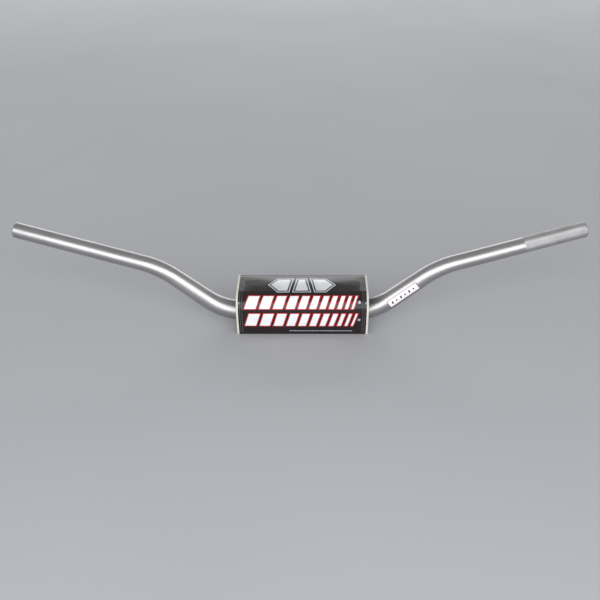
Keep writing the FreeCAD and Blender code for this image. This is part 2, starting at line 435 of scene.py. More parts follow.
def bar_stations():
    """Distances along the bar where the outside of the tube has a ring, up to each end's chamfer."""
    bend_step, straight_step = math.radians(2.0), 11 * MM
    half = [0.0, TAPER_START, TAPER_END]
    travelled = 0.0
    for length, _, _, _, _, _, radius in LEGS:
        count = math.ceil(length / (radius * bend_step or straight_step))
        half += [travelled + length * i / count for i in range(1, count + 1)]
        travelled += length
    half = sorted(d for d in half if d < HALF_LENGTH - 3 * MM)
    step = KNURL_PITCH / PER_DIAMOND
    knurled = [d for d in half if d < KNURL_START - step] + [KNURL_START - 0.2 * MM]
    count = int((KNURL_LENGTH - END_BACK - 0.1 * MM) / step)
    knurled += [KNURL_START + i * step for i in range(count + 1)]
    return [-d for d in reversed(half[1:])] + knurled


def end_profile():
    """From the outside to the bore round one open end, as (distance back from the end, radius)."""
    corners = [(END_BACK, GRIP_R, 0), (END_CHAMFER, GRIP_R, 0.5 * MM),
               (0.0, GRIP_R - END_CHAMFER, 0.25 * MM), (0.0, BORE_R + BORE_CHAMFER, 0.15 * MM),
               (BORE_CHAMFER, BORE_R, 0.15 * MM), (END_BACK, BORE_R, 0)]
    return rounded_path(corners, 0.5 * MM)


def build_tube(satin, knurled):
    outside = bar_stations()
    near_end = [HALF_LENGTH - KNURL_LENGTH * share for share in (0.6, 0.25)]
    inside = [-d for d in reversed(near_end)] + [d for d in outside if abs(d) < KNURL_START] + near_end
    profile = end_profile()
    rings = [(d, bar_radius(d)) for d in outside]
    rings += [(HALF_LENGTH - back, radius) for back, radius in profile]
    rings += [(d, bar_radius(d) - WALL) for d in reversed(inside)]
    rings += [(back - HALF_LENGTH, radius) for back, radius in reversed(profile)]
    rows = []
    for d, radius in rings:
        place = bar_frame(d)
        outer = radius > GRIP_R - 0.01 * MM
        row = []
        for turn in (k / RING_SIDES for k in range(RING_SIDES)):
            height = knurl_height(d, turn) if outer else 0.0
            row.append(around(*place, 2 * math.pi * turn, radius + height))
        rows.append(row)
    piece = swept("bar_tube_body", rows, [satin, knurled], closed_rows=True)
    last = len(outside) - 1
    for index, polygon in enumerate(piece.data.polygons):
        row = index // RING_SIDES
        if row < last and outside[row] >= KNURL_START - 0.01 * MM:
            polygon.material_index = 1
            polygon.use_smooth = False
    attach(piece, FIXED)
    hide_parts("bar_tube")


# ---- section of the pad

CROWN_Z = TOP_Z - CROWN_R
BASE_FROM_CROWN = Vector((BASE_HALF - CROWN_HALF, BASE_Z - CROWN_Z))
SIDE_ANGLE = (math.atan2(BASE_FROM_CROWN.y, BASE_FROM_CROWN.x)
              + math.acos(CROWN_R / BASE_FROM_CROWN.length))  # where the leaning side meets the crown
SIDE_OUT = Vector((math.cos(SIDE_ANGLE), math.sin(SIDE_ANGLE)))
SIDE_UP = Vector((-SIDE_OUT.y, SIDE_OUT.x))
SIDE_LENGTH = (Vector((CROWN_HALF, CROWN_Z)) + SIDE_OUT * CROWN_R - Vector((BASE_HALF, BASE_Z))).length
CROWN_LENGTH = CROWN_R * (math.pi / 2 - SIDE_ANGLE)
WALL_LENGTH = 2 * (SIDE_LENGTH + CROWN_LENGTH + CROWN_HALF)


def wall_at(along):
    """(y, z) and outward normal on the pad's section, from the front base over the crown to the rear base."""
    rear = along > WALL_LENGTH / 2
    left = WALL_LENGTH - along if rear else along
    if left < SIDE_LENGTH:
        place = Vector((BASE_HALF, BASE_Z)) + SIDE_UP * left
        normal = SIDE_OUT.copy()
    elif left < SIDE_LENGTH + CROWN_LENGTH:
        angle = SIDE_ANGLE + (left - SIDE_LENGTH) / CROWN_R
        normal = Vector((math.cos(angle), math.sin(angle)))
        place = Vector((CROWN_HALF, CROWN_Z)) + normal * CROWN_R
    else:
        place = Vector((CROWN_HALF - (left - SIDE_LENGTH - CROWN_LENGTH), TOP_Z))
        normal = Vector((0.0, 1.0))
    if not rear:
        place.x, normal.x = -place.x, -normal.x
    return place, normal


# ---- skin of the pad

HEM_BAND = 8.6 * MM  # folded edge of the cover, from its side edge
STITCH_ROWS = (2.9 * MM, 5.7 * MM)  # from the side edge
STITCH_PITCH = 3.3 * MM
STITCH_LENGTH = 2.3 * MM
PUFF = 1.5 * MM  # most that the stuffing swells the skin
WAVE = 0.22 * MM  # hand-made unevenness of the skin
FOLD = 0.45 * MM  # step of the folded hem, and how far its edge rounds off
PULL = 0.28 * MM  # dip along a stitch row
PUCKER = 0.05 * MM
RELAX_STEP = 8 * MM
RELAX_FRAMES = 20


def relax_cover():
    """Swell of the skin over the foam, from a short pressure simulation; a grid over (along, across)."""
    along_count = math.ceil(WALL_LENGTH / RELAX_STEP)
    across_count = math.ceil(2 * COVER_REACH / RELAX_STEP)
    start_in = 1 * MM
    section = [wall_at(WALL_LENGTH * k / (along_count * 2)) for k in range(along_count * 2 + 1)]
    section = [place - normal * start_in for place, normal in section]
    columns_x = [PAD_X - COVER_REACH + COVER_REACH * i / across_count for i in range(across_count * 2 + 1)]
    source = swept("relax_source", [[Vector((x, *place)) for place in section] for x in columns_x], [])
    remesh = source.modifiers.new("remesh", "REMESH")
    remesh.mode = "VOXEL"
    remesh.voxel_size = 5 * MM
    graph = bpy.context.evaluated_depsgraph_get()
    stuffed = linked("relax_body", bpy.data.meshes.new_from_object(source.evaluated_get(graph)))
    held = [vertex.index for vertex in stuffed.data.vertices
            if abs(vertex.co.x - PAD_X) > COVER_REACH - HEM_BAND or vertex.co.z < BASE_Z + 7 * MM]
    stuffed.vertex_groups.new(name="held").add(held, 1.0, "REPLACE")
    cloth = stuffed.modifiers.new("cloth", "CLOTH")
    fabric = {"quality": 6, "mass": 0.2, "tension_stiffness": 18, "compression_stiffness": 18,
              "shear_stiffness": 8, "bending_stiffness": 1.5, "use_pressure": True,
              "uniform_pressure_force": 4, "vertex_group_mass": "held"}
    for name, value in fabric.items():
        setattr(cloth.settings, name, value)
    cloth.settings.effector_weights.gravity = 0
    cloth.collision_settings.use_collision = False
    before = BVHTree.FromPolygons([v.co.copy() for v in stuffed.data.vertices],
                                  [tuple(p.vertices) for p in stuffed.data.polygons])
    scene = bpy.context.scene
    scene.frame_start, scene.frame_end = 1, RELAX_FRAMES
    for number in range(1, RELAX_FRAMES + 1):
        scene.frame_set(number)
    graph = bpy.context.evaluated_depsgraph_get()
    after = BVHTree.FromObject(stuffed, graph)
    inside = COVER_REACH - 2 * MM  # rays stay clear of the side edges
    swell = []
    for i in range(along_count + 1):
        place, out = (Vector((0, *pair)) for pair in wall_at(WALL_LENGTH * i / along_count))
        line = []
        for k in range(across_count + 1):
            across = COVER_REACH * (2 * k / across_count - 1)
            origin = place + out * 20 * MM
            origin.x = PAD_X + min(max(across, -inside), inside)
            hits = [tree.ray_cast(origin, -out)[3] for tree in (before, after)]
            line.append(hits[0] - hits[1] if None not in hits else 0.0)
        swell.append(line)
    scene.frame_set(1)
    bpy.data.objects.remove(stuffed)
    bpy.data.objects.remove(source)
    most = max(max(abs(value) for value in line) for line in swell)
    share = min(1.0, PUFF / most) if most > 0 else 0.0
    return [[value * share for value in line] for line in swell]


SWELL = relax_cover()


def spline_weights(t):
    """Weights of a uniform cubic B-spline on four neighbours."""
    return ((1 - t) ** 3 / 6, (3 * t ** 3 - 6 * t ** 2 + 4) / 6,
            (-3 * t ** 3 + 3 * t ** 2 + 3 * t + 1) / 6, t ** 3 / 6)


def swell_at(along, across):
    """Swell between the grid's points, as smooth as the skin is."""
    rows, columns = len(SWELL), len(SWELL[0])
    a = min(max(along / WALL_LENGTH, 0.0), 1.0) * (rows - 1)
    b = min(max((across + COVER_REACH) / (2 * COVER_REACH), 0.0), 1.0) * (columns - 1)
    i, k = int(a), int(b)
    total = 0.0
    for di, wa in enumerate(spline_weights(a - i), -1):
        line = SWELL[min(max(i + di, 0), rows - 1)]
        for dk, wb in enumerate(spline_weights(b - k), -1):
            total += wa * wb * line[min(max(k + dk, 0), columns - 1)]
    return total


def skin_offset(along, across):
    """How far the skin stands off the plain section: swell, soft waves, folded hem and stitch rows."""
    edge = COVER_REACH - abs(across)
    from_base = min(along, WALL_LENGTH - along)
    waves = noise.noise(Vector((across / (30 * MM), along / (24 * MM), 3.7)))
    waves += 0.35 * noise.noise(Vector((across / (11 * MM), along / (13 * MM), 9.1)))
    offset = swell_at(along, across) + WAVE * waves
    offset += FOLD * (smoothstep(HEM_BAND, HEM_BAND - 1 * MM, edge) - smoothstep(1.2 * MM, 0.0, edge))
    for row in STITCH_ROWS:
        apart = edge - row
        pull = math.exp(-(apart / (0.6 * MM)) ** 2)
        pucker = math.cos(2 * math.pi * along / STITCH_PITCH) * math.exp(-(apart / (1.6 * MM)) ** 2)
        offset -= PULL * pull + PUCKER * pucker
    return offset * smoothstep(1.5 * MM, 7 * MM, from_base)


def on_skin(across, along, lift=0.0):
    """Point on the finished cover: across from the pad's middle, along from the front base over the crown."""
    place, normal = wall_at(along)
    return Vector((PAD_X + across, *(place + normal * (skin_offset(along, across) + lift))))


def skin_normal(along):
    return Vector((0, *wall_at(along)[1]))


def window(value, low, high, soft):
    """1 between low and high, 0 outside, with a soft step at each."""
    return min(smoothstep(low - soft, low + soft, value), smoothstep(high + soft, high - soft, value))


def in_pocket(across):
    return max(window(across, *span, 0.5 * MM) for span in POCKET_SPANS)


def in_notch(across):
    clear = 0.6 * MM
    return max(window(across, low - clear, high + clear, 0.4 * MM) for low, high in STRAP_SPANS)


def pad_columns():
    """Places across the pad where its pieces have a ring of points, closer where its shape changes."""
    coarse_count, fine, least = 66, 0.45 * MM, 0.25 * MM
    features = [end for span in (*POCKET_SPANS, *STRAP_SPANS) for end in span]
    places = [-COVER_REACH + i * 2 * COVER_REACH / coarse_count for i in range(coarse_count + 1)]
    places += [feature + k * fine for feature in features for k in range(-3, 4)]
    edge_steps = int((HEM_BAND + 2 * MM) / fine)
    places += [side * (COVER_REACH - k * fine) for side in (-1, 1) for k in range(edge_steps)]
    places = sorted(place for place in places if -COVER_REACH <= place <= COVER_REACH)
    kept = [places[0]]
    for place in places[1:]:
        if place - kept[-1] > least:
            kept.append(place)
    kept[-1] = COVER_REACH
    return kept


COLUMNS = pad_columns()


# ---- cover, foam and binding

WALL_START = 3 * MM  # the skin's own surface starts this far above the hems
HEM_IN = BASE_HALF - HEM_DEPTH


def inner_corner(depth, z):
    """Half-depth of the leaning side at a height, measured depth inside the skin."""
    return BASE_HALF + (z - BASE_Z) * SIDE_UP.x / SIDE_UP.y - depth / SIDE_OUT.x


def arch(depth, floor_z, inner_y, corner_r, spacing):
    """Path inside the skin from the rear lip over the crown to the front lip."""
    top_z = TOP_Z - depth
    side_y = inner_corner(depth, floor_z)
    crown_y = inner_corner(depth, top_z)
    rear = [(inner_y, floor_z, 0), (side_y, floor_z, corner_r), (crown_y, top_z, CROWN_R - depth)]
    return rounded_path(rear + [(-y, z, radius) for y, z, radius in reversed(rear)], spacing)


def drawn_back(y, start, end, clear, across):
    """Moves y so that what reached in to start reaches in only to clear at a clamp pocket; end stays."""
    edge = start + (clear - start) * in_pocket(across)
    return math.copysign(edge + (abs(y) - start) / (end - start) * (end - edge), y)


def underside(place, across):
    """Point below the cover: lips drawn back at the clamp pockets, rear hem flat where the straps pass."""
    y, z = place
    end = HEM_IN - 0.5 * MM
    if abs(y) < end and z < LIP_Z + 2 * COVER_T:
        y = drawn_back(y, LIP_HALF_GAP, end, POCKET_HALF_DEPTH + 0.2 * MM, across)
    if y > 0 and z < LIP_Z:
        z = LIP_Z + (z - LIP_Z) * (1 - 0.95 * in_notch(across))
    return Vector((PAD_X + across, y, z))


def build_cover(vinyl):
    wall_low = wall_at(WALL_START)[0]
    hem = [(-LIP_HALF_GAP, LIP_Z, 0), (-HEM_IN, LIP_Z, 0.5 * MM), (-HEM_IN, BASE_Z, 1 * MM),
           (-BASE_HALF, BASE_Z, 1.3 * MM), (*wall_low, 0)]
    front = rounded_path(hem, 1.2 * MM)
    rear = [Vector((-point.x, point.y)) for point in reversed(front)]
    inside = arch(COVER_T, LIP_Z + COVER_T, LIP_HALF_GAP, 1 * MM, 3 * MM)
    steps = round((WALL_LENGTH - 2 * WALL_START) / (1 * MM))
    wall = [WALL_START + (WALL_LENGTH - 2 * WALL_START) * i / steps for i in range(1, steps)]
    rows = []
    for across in COLUMNS:
        row = [underside(point, across) for point in front]
        row += [on_skin(across, along) for along in wall]
        row += [underside(point, across) for point in rear + inside]
        rows.append(row)
    piece = swept("pad_cover_skin", rows, [vinyl], sharp_angle=50)
    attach(piece, FIXED)
    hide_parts("pad_cover")


def slot_ring(across, count=48):
    """Path through the foam from its rear floor edge, round the tube or a clamp pocket, to the front."""
    distance = bar_at_x(PAD_X + across)
    point = bar_frame(distance)[0]
    radius = bar_radius(distance) + SLOT_GAP
    floor_z = LIP_Z + COVER_T
    corners = ((1, floor_z), (1, POCKET_TOP_Z), (-1, POCKET_TOP_Z), (-1, floor_z))
    pocket = [Vector((way * POCKET_HALF_DEPTH, z)) for way, z in corners]
    ring = []
    for i in range(1, count):
        t = i / count
        if t < 0.25:
            slot = Vector((SLOT_HALF, floor_z)).lerp(Vector((radius, point.z)), t * 4)
        elif t > 0.75:
            slot = Vector((-radius, point.z)).lerp(Vector((-SLOT_HALF, floor_z)), t * 4 - 3)
        else:
            angle = math.pi * (t - 0.25) * 2
            slot = Vector((math.cos(angle), math.sin(angle))) * radius + point.yz
        side = min(int(t * 3), 2)
        ring.append(slot.lerp(pocket[side].lerp(pocket[side + 1], t * 3 - side), in_pocket(across)))
    return ring


def build_foam(foam):
    depth = COVER_T + 0.15 * MM
    floor_z = LIP_Z + COVER_T + 0.1 * MM
    outer = arch(depth, floor_z, SLOT_HALF, 1.5 * MM, 2.5 * MM)
    side_y = inner_corner(depth, floor_z) - 2 * MM
    heart = Vector((0, CROWN_Z - 20 * MM))
    rows = []
    for across in COLUMNS:
        ring = []
        cut = smoothstep(COVER_REACH - 1 * MM, COVER_REACH, abs(across)) * 0.7 * MM
        for y, z in reversed(outer):
            if abs(y) < side_y and z < floor_z + 1 * MM:
                y = drawn_back(y, SLOT_HALF, side_y, POCKET_HALF_DEPTH, across)
            wobble = 0.12 * MM * noise.noise(Vector((across, y, z)) / (3 * MM))
            place = Vector((y, z))
            y, z = place + (heart - place).normalized() * (cut + max(0.0, wobble))
            ring.append(Vector((PAD_X + across, y, max(z, floor_z))))
        rows.append(ring + [Vector((PAD_X + across, *place)) for place in slot_ring(across)])
    piece = swept("pad_foam_core", rows, [foam], sharp_angle=45)
    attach(piece, FIXED)
    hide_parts("pad_foam")


def build_binding(name, side, tape):
    """Folded tape round one side edge of the cover, ribbed across its run."""
    inner, outer = COVER_REACH - 0.6 * MM, PAD_REACH
    low, high = BINDING_PROUD - BINDING_T, BINDING_PROUD
    round_r = 0.9 * MM
    middle = (inner + outer) / 2
    corners = [(middle, low, 0), (outer, low, round_r), (outer, high, round_r),
               (inner, high, round_r * 0.8), (inner, low, round_r * 0.8), (middle, low, 0)]
    section = rounded_path(corners, 0.35 * MM)[:-1]
    rib = 1.15 * MM
    start = 0.5 * MM
    count = round((WALL_LENGTH - 2 * start) / (rib / 4))
    rows = []
    for i in range(count + 1):
        along = start + (WALL_LENGTH - 2 * start) * i / count
        place, normal = wall_at(along)
        swell = 0.07 * MM * math.cos(2 * math.pi * along / rib)
        swell += 0.10 * MM * noise.noise(Vector((along / (6 * MM), side, 0.3)))
        row = []
        for a, b in section:
            out = Vector((a - middle, b - (low + high) / 2)).normalized() * swell
            spot = place + normal * (b + out.y)
            row.append(Vector((PAD_X + side * (a + out.x), spot.x, max(spot.y, BASE_Z))))
        rows.append(row)
    piece = swept(name + "_tape", rows, [tape], sharp_angle=60)
    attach(piece, FIXED)
    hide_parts(name)


def build_edge_stitching(side_name, side, thread):
    """Two rows of stitches through the cover's folded side edge."""
    verts, faces = [], []
    first = 4 * MM
    count = int((WALL_LENGTH - 2 * first) / STITCH_PITCH)
    for row in STITCH_ROWS:
        across = side * (COVER_REACH - row)
        for i in range(count):
            along = first + i * STITCH_PITCH
            sway = 0.06 * MM * noise.noise(Vector((i * 0.7, row * 900, side)))
            start = on_skin(across + sway, along)
            end = on_skin(across - sway, along + STITCH_LENGTH)
            stitch(verts, faces, start, end, skin_normal(along + STITCH_LENGTH / 2))
    piece = mesh_object("edge_stitching_" + side_name, verts, faces, [thread])
    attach(piece, FIXED)


def build_glint_tacks(thread):
    """Short light tacks at the front of each side edge, standing in for small bright glints on the hem:
    painted highlights made as pale thread.
    """
    first, pitch, slant = 53 * MM, 0.55 * MM, 0.2 * MM  # up the skin
    near, far = COVER_REACH - 0.9 * MM, COVER_REACH - 2.3 * MM
    verts, faces = [], []
    for side in (-1, 1):
        for i in range(5):
            along = first + i * pitch
            start, end = on_skin(side * near, along), on_skin(side * far, along + slant)
            stitch(verts, faces, start, end, skin_normal(along), 0.22 * MM, 0.34 * MM)
    piece = mesh_object("edge_glint_tacks", verts, faces, [thread])
    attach(piece, FIXED)


# ---- printed shapes

def grown(outline, distance):
    """Convex outline with every edge moved outwards; minus shrinks it."""
    corners = [Vector(corner) for corner in outline]
    before, after = corners[-1:] + corners[:-1], corners[1:] + corners[:1]
    area = sum(a.x * b.y - b.x * a.y for a, b in zip(corners, after))
    turn = math.copysign(1, area)
    moved = []
    for last, here, ahead in zip(before, corners, after):
        ways = (here - last).normalized(), (ahead - here).normalized()
        out_a, out_b = (Vector((way.y, -way.x)) * turn for way in ways)
        moved.append(tuple(here + (out_a + out_b) / (1 + out_a.dot(out_b)) * distance))
    return moved


def span_at(outline, level):
    """Lowest and highest a of a convex outline at one b."""
    found = []
    for (a0, b0), (a1, b1) in zip(outline, outline[1:] + outline[:1]):
        if abs(b0 - level) < 1e-7:
            found.append(a0)
        elif min(b0, b1) < level < max(b0, b1):
            found.append(a0 + (a1 - a0) * (level - b0) / (b1 - b0))
    return min(found), max(found)


def add_film(verts, faces, outline, surface, lift, spacing, thickness):
    """Appends a thin closed slab of a convex outline, laid on a curved surface(a, b, lift)."""
    stops = []
    for level in sorted(b for _, b in outline):
        if not stops or level - stops[-1] > 1e-6:
            stops.append(level)
    levels = [stops[0]]
    for low, high in zip(stops, stops[1:]):
        count = max(1, math.ceil((high - low) / spacing))
        levels += [low + (high - low) * i / count for i in range(1, count + 1)]
    spans = [span_at(outline, level) for level in levels]
    wide = max(high - low for low, high in spans)
    across = max(1, math.ceil(wide / spacing))
    ring = across + 1
    first = len(verts)
    for height in (lift + thickness, lift):
        for level, (low, high) in zip(levels, spans):
            verts.extend(surface(low + (high - low) * k / across, level, height) for k in range(ring))
    layer = len(levels) * ring
    faces += grid_faces(len(levels), ring, False, False, first)
    faces += [face[::-1] for face in grid_faces(len(levels), ring, False, False, first + layer)]
    border = list(range(ring))
    border += [i * ring + across for i in range(1, len(levels))]
    border += [(len(levels) - 1) * ring + k for k in range(across - 1, -1, -1)]
    border += [i * ring for i in range(len(levels) - 2, 0, -1)]
    for here, after in zip(border, border[1:] + border[:1]):
        faces.append((first + here, first + after, first + layer + after, first + layer + here))


def film(name, outlines, surface, lift, material, spacing, thickness=0.05 * MM):
    """One piece of ink or film: all its outlines laid on the surface at one height."""
    verts, faces = [], []
    for outline in outlines:
        add_film(verts, faces, outline, surface, lift, spacing, thickness)
    piece = mesh_object(name, verts, faces, [material], sharp_angle=40)
    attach(piece, FIXED)
    return piece


def slanted(a, b_low, b_high, width, slant):
    return [(a, b_low), (a + width, b_low), (a + width + slant, b_high), (a + slant, b_high)]


def disc(a, b, radius, sides=20):
    angles = [math.pi * (2 * i + 1) / sides for i in range(sides)]
    return [(a + radius * math.cos(angle), b + radius * math.sin(angle)) for angle in angles]


PRINT_ROWS = ((17 * MM, 39 * MM), (46.6 * MM, 64.6 * MM))  # heights up the skin of the two rows
PRINT_LEFT = -79 * MM
PRINT_RIGHT = 75.5 * MM
PRINT_SLANT = 6 * MM
BLOCK_GAP = 5.2 * MM
BLOCK_SHARES = range(12, 1, -1)  # widths of a row's blocks, to each other
BLOCK_EDGE = 1.25 * MM  # red that shows round a block
BADGE_RIM = 1.3 * MM
BADGE_INSET = 3.4 * MM  # from a panel's outline to its plate
WIDE_SPACING = 1.6 * MM  # between the points of a large film
FINE_SPACING = 0.8 * MM
INK_LIFT = 0.02 * MM  # lowest layer of ink over the cover
INK_LAYER = 0.05 * MM  # each layer over the last


def print_blocks():
    """Two rows of plain slanted blocks that shorten from left to right."""
    usable = PRINT_RIGHT - PRINT_LEFT - PRINT_SLANT - BLOCK_GAP * (len(BLOCK_SHARES) - 1)
    blocks = []
    for low, high in PRINT_ROWS:
        a = PRINT_LEFT
        for share in BLOCK_SHARES:
            width = usable * share / sum(BLOCK_SHARES)
            blocks.append(slanted(a, low, high, width, PRINT_SLANT))
            a += width + BLOCK_GAP
    return blocks


def badge_plates():
    """Own plain badge on the crown: a long hexagon cut by two opposite slashes into three panels."""
    middle, low, high = -0.8 * MM, 71.5 * MM, 107.5 * MM
    centre = (low + high) / 2
    reach, shoulder, split, lean, gap = 47 * MM, 33.5 * MM, 14 * MM, 3 * MM, 4 * MM
    side = [(reach, centre), (shoulder, high), (split - lean, high), (split + lean, low), (shoulder, low)]
    foot, head = split + lean - gap, split - lean - gap
    panels = [[(-a, b) for a, b in reversed(side)],
              [(-foot, low), (foot, low), (head, high), (-head, high)],
              side]
    return [[(middle + a, b) for a, b in panel] for panel in panels]


def build_prints(white, red, silver, grey, black):
    def ink(name, outlines, layer, colour, spacing=WIDE_SPACING):
        film(name, outlines, on_skin, INK_LIFT + layer * INK_LAYER, colour, spacing)

    blocks = print_blocks()
    plates = badge_plates()
    ink("print_red_edges", [grown(block, BLOCK_EDGE) for block in blocks], 0, red)
    ink("print_white_blocks", blocks, 1, white)
    ink("print_badge_edge", plates, 0, silver)
    ink("print_badge_field", [grown(plate, -BADGE_RIM) for plate in plates], 1, black)
    ink("print_badge_plates", [grown(plate, -BADGE_INSET) for plate in plates], 2, silver)
    dots = [disc(PRINT_RIGHT + 2.2 * MM, (low + high) / 2, 2.1 * MM) for low, high in PRINT_ROWS]
    ink("print_dots", dots, 0, grey, FINE_SPACING)
    dash, gap, slant = 2.6 * MM, 0.9 * MM, 0.4 * MM
    left, right, low, high = -18 * MM, 71 * MM, 6 * MM, 7.6 * MM
    count = int((right - left) / (dash + gap))
    dashes = [slanted(left + i * (dash + gap), low, high, dash, slant) for i in range(count)]
    ink("print_fine_line", dashes, 0, grey, FINE_SPACING)


# ---- decal on the tube

DECAL_LENGTH = 49.6 * MM
DECAL_FROM = 24.6 * MM  # along the upsweep, from the inner corner
DECAL_HEIGHT = 12.4 * MM
DECAL_BORDER = 0.9 * MM


def on_upsweep(a, b, lift):
    """Point on the lower front of the tube: a along the bar, b upwards round it."""
    radius = bar_radius(a)
    return around(*bar_frame(a), math.pi - b / radius, radius + lift)


def build_decal(white, red, black):
    turn = Vector((1, 0, 0)).angle((OUTER_CORNER - INNER_CORNER).normalized())
    start = LEGS[0][0] + LEGS[1][0] + DECAL_FROM - INNER_BEND_R * math.tan(turn / 2)
    low, high = -DECAL_HEIGHT / 2, DECAL_HEIGHT / 2
    label = slanted(start, low, high, DECAL_LENGTH, 0.0)
    edge = film("decal_edge", [label], on_upsweep, 0.01 * MM, red, FINE_SPACING, 0.06 * MM)
    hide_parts("bar_decal")
    field = grown(label, -DECAL_BORDER)
    film("decal_field", [field], on_upsweep, 0.06 * MM, white, FINE_SPACING)
    first, pitch, width = start + 5.2 * MM, 7 * MM, 2.2 * MM
    marks = []
    for i in range(6):
        tall = (2.4 if i % 2 else 4.2) * MM
        marks.append(slanted(first + i * pitch, -tall / 2, tall / 2, width, tall * 0.22))
    film("decal_marks", marks, on_upsweep, 0.10 * MM, black, FINE_SPACING, 0.04 * MM)


# ---- straps and tapes below

def webbing(name, path, low_x, high_x, thickness, material):
    """Flat woven strap along a path in the (y, z) plane, with rounded edges and a woven relief."""
    width = high_x - low_x
    lanes = max(8, round(width / (0.9 * MM)))
    yarn, relief, edge_round = 1.5 * MM, 0.05 * MM, 0.8 * MM
    rows = []
    travelled = 0.0
    for before, place, after in zip(path[:1] + path, path, path[1:] + path[-1:]):
        travelled += (place - before).length
        ahead = (after - before).normalized()
        normal = Vector((-ahead.y, ahead.x))
        row = []
        for face in (1, -1):
            for k in range(lanes + 1):
                t = k / lanes if face > 0 else 1 - k / lanes
                from_edge = min(t, 1 - t) * width
                thick = thickness / 2 * min(1.0, (from_edge / edge_round) ** 0.5 * 0.75 + 0.25)
                weave = math.cos(2 * math.pi * travelled / yarn + math.pi * k)
                spot = place + normal * face * (thick - 0.06 * MM + relief * weave)
                row.append(Vector((low_x + t * width, *spot)))
        rows.append(row)
    return swept(name, rows, [material], sharp_angle=70)


def build_strap(name, tape, thread):
    """One continuous strap: sewn to the rear wall, folded at the hem and run forward under the tube."""
    flap_low, flap_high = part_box("strap_" + name)
    thickness = flap_high.z - flap_low.z
    middle_z = (flap_low.z + flap_high.z) / 2

    def beside_wall(z):
        return inner_corner(-0.45 * MM, z), z

    corners = [(*beside_wall(ANCHOR_TOP), 0), (*beside_wall(middle_z), 1.3 * MM), (flap_low.y, middle_z, 0)]
    path = rounded_path(corners, 0.375 * MM)
    piece = webbing("strap_webbing_" + name, path, flap_low.x, flap_high.x, thickness, tape)
    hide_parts("strap_" + name, "strap_anchor_" + name)
    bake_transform(piece)
    build_box_stitch(name, beside_wall, thread)


def build_box_stitch(name, beside_wall, thread):
    """Sewn box and cross that hold a strap's end to the rear wall."""
    verts, faces = [], []
    inset = 1.7 * MM
    low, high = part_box("strap_" + name)
    left, right = low.x + inset, high.x - inset
    top, bottom = ANCHOR_TOP - inset, ANCHOR_TOP - 10 * MM
    normal = Vector((0, *SIDE_OUT))
    corners = [(left, bottom), (right, bottom), (right, top), (left, top)]
    sides = list(zip(corners, corners[1:] + corners[:1]))
    diagonals = [(corners[0], corners[2]), (corners[1], corners[3])]
    for first, last in sides + diagonals:
        start, end = Vector(first), Vector(last)
        count = max(1, round((end - start).length / (2.4 * MM)))
        for i in range(count):
            ends = [start.lerp(end, (i + share) / count) for share in (0.08, 0.80)]
            spots = [Vector((x, *beside_wall(z))) + normal * (0.30 * MM) for x, z in ends]
            stitch(verts, faces, *spots, normal, 0.20 * MM, 0.24 * MM)
    piece = mesh_object("strap_stitching_" + name, verts, faces, [thread])
    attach(piece, FIXED)


def plate(verts, faces, low, high, edge_round):
    """Appends a flat backing with softened edges to a mesh under construction."""
    faces += tube_faces(4, 4, len(verts))
    soft = edge_round / 2
    for z, shrink in ((low.z, edge_round), (low.z + soft, 0), (high.z - soft, 0), (high.z, edge_round)):
        left, right, front, rear = low.x + shrink, high.x - shrink, low.y + shrink, high.y - shrink
        verts += [Vector((x, y, z)) for x, y in ((left, front), (right, front), (right, rear), (left, rear))]


def build_hooks(name, nylon):
    """Hook tape: a thin backing with rows of small bent hooks."""
    low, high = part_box("hook_patch_" + name)
    backing = 0.18 * MM
    bow = [(0.0, 0.0), (0.02, 0.55), (0.14, 0.95), (0.30, 0.98), (0.42, 0.72)]
    radii = [radius * MM for radius in (0.10, 0.09, 0.08, 0.07, 0.05)]
    verts, faces = [], []
    plate(verts, faces, low, Vector((high.x, high.y, low.z + backing)), 0.08 * MM)
    pitch = 1.35 * MM
    reach = high.z - low.z - backing
    for i in range(int((high.x - low.x - pitch) / pitch) + 1):
        for k in range(int((high.y - low.y - pitch) / pitch) + 1):
            x = low.x + pitch * (0.6 + i)
            y = low.y + pitch * (0.6 + k + 0.3 * (i % 2))
            side = 1 if k % 2 else -1
            base = Vector((x, y, low.z + backing * 0.5))
            points = [base + Vector((0, side * a * MM, b * reach)) for a, b in bow]
            add_thread(verts, faces, points, radii, Vector((1, 0, 0)), sides=4)
    piece = mesh_object("hook_tape_" + name, verts, faces, [nylon], sharp_angle=50)
    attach(piece, "strap_" + name + "_flap")
    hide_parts("hook_patch_" + name)


def build_loops(name, pile):
    """Loop tape: a woven backing with a pile of small loops hanging from it."""
    low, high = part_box("loop_patch_" + name)
    backing = 0.30 * MM
    verts, faces = [], []
    plate(verts, faces, Vector((low.x, low.y, high.z - backing)), high, 0.1 * MM)
    drop = high.z - low.z - backing
    area = (high.x - low.x) * (high.y - low.y)
    for _ in range(int(area / (0.95 * MM) ** 2)):
        x = random.uniform(low.x + 0.6 * MM, high.x - 0.6 * MM)
        y = random.uniform(low.y + 0.6 * MM, high.y - 0.6 * MM)
        turn = random.uniform(0, math.pi)
        wide = random.uniform(0.30, 0.50) * MM
        tall = drop * random.uniform(0.7, 1.0)
        foot = Vector((x, y, high.z - backing * 0.8))
        way = Vector((math.cos(turn), math.sin(turn), 0))
        points = []
        for i in range(7):
            angle = math.pi * i / 6
            points.append(foot + way * wide * math.cos(angle) - Vector((0, 0, tall * math.sin(angle))))
        add_thread(verts, faces, points, [0.06 * MM] * 7, Vector((way.y, -way.x, 0.01)), sides=4)
    piece = mesh_object("loop_tape_" + name, verts, faces, [pile], sharp_angle=50)
    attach(piece, FIXED)
    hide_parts("loop_patch_" + name)


# ---- stage, light and camera

